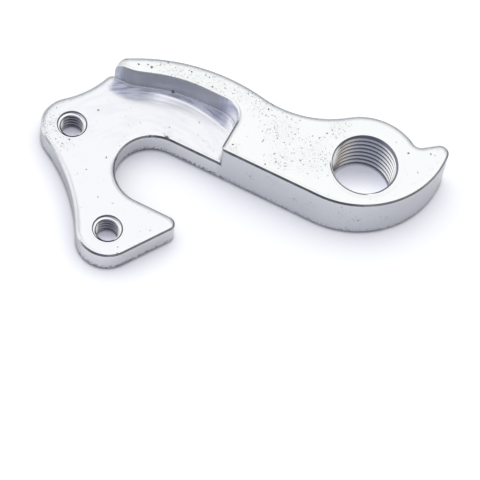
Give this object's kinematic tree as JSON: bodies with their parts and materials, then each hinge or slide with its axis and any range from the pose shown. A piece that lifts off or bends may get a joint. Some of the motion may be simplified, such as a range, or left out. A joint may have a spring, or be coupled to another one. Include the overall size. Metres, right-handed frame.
{
  "type": "bicycle derailleur hanger",
  "caption": "Replaceable bicycle derailleur hanger: a thin tab with an open axle slot and tapped screw holes steps up to a thick curved arm with a tapped derailleur hole and a stop claw.",
  "frame": {"origin": "on the axis of the derailleur hole, in the plane of the flat back face", "axes": "+Z out of the back face through the tab and the arm; +X along the axle slot, towards its open end and the derailleur hole; +Y from the axle slot towards the raised rim"},
  "size_m": [0.0541, 0.0373, 0.0077],
  "materials": {
    "polished_aluminium": "tumbled and polished, with small casting pits"
  },
  "bodies": {
    "root": {"derailleur_hanger": "polished_aluminium"}
  },
  "joints": []
}
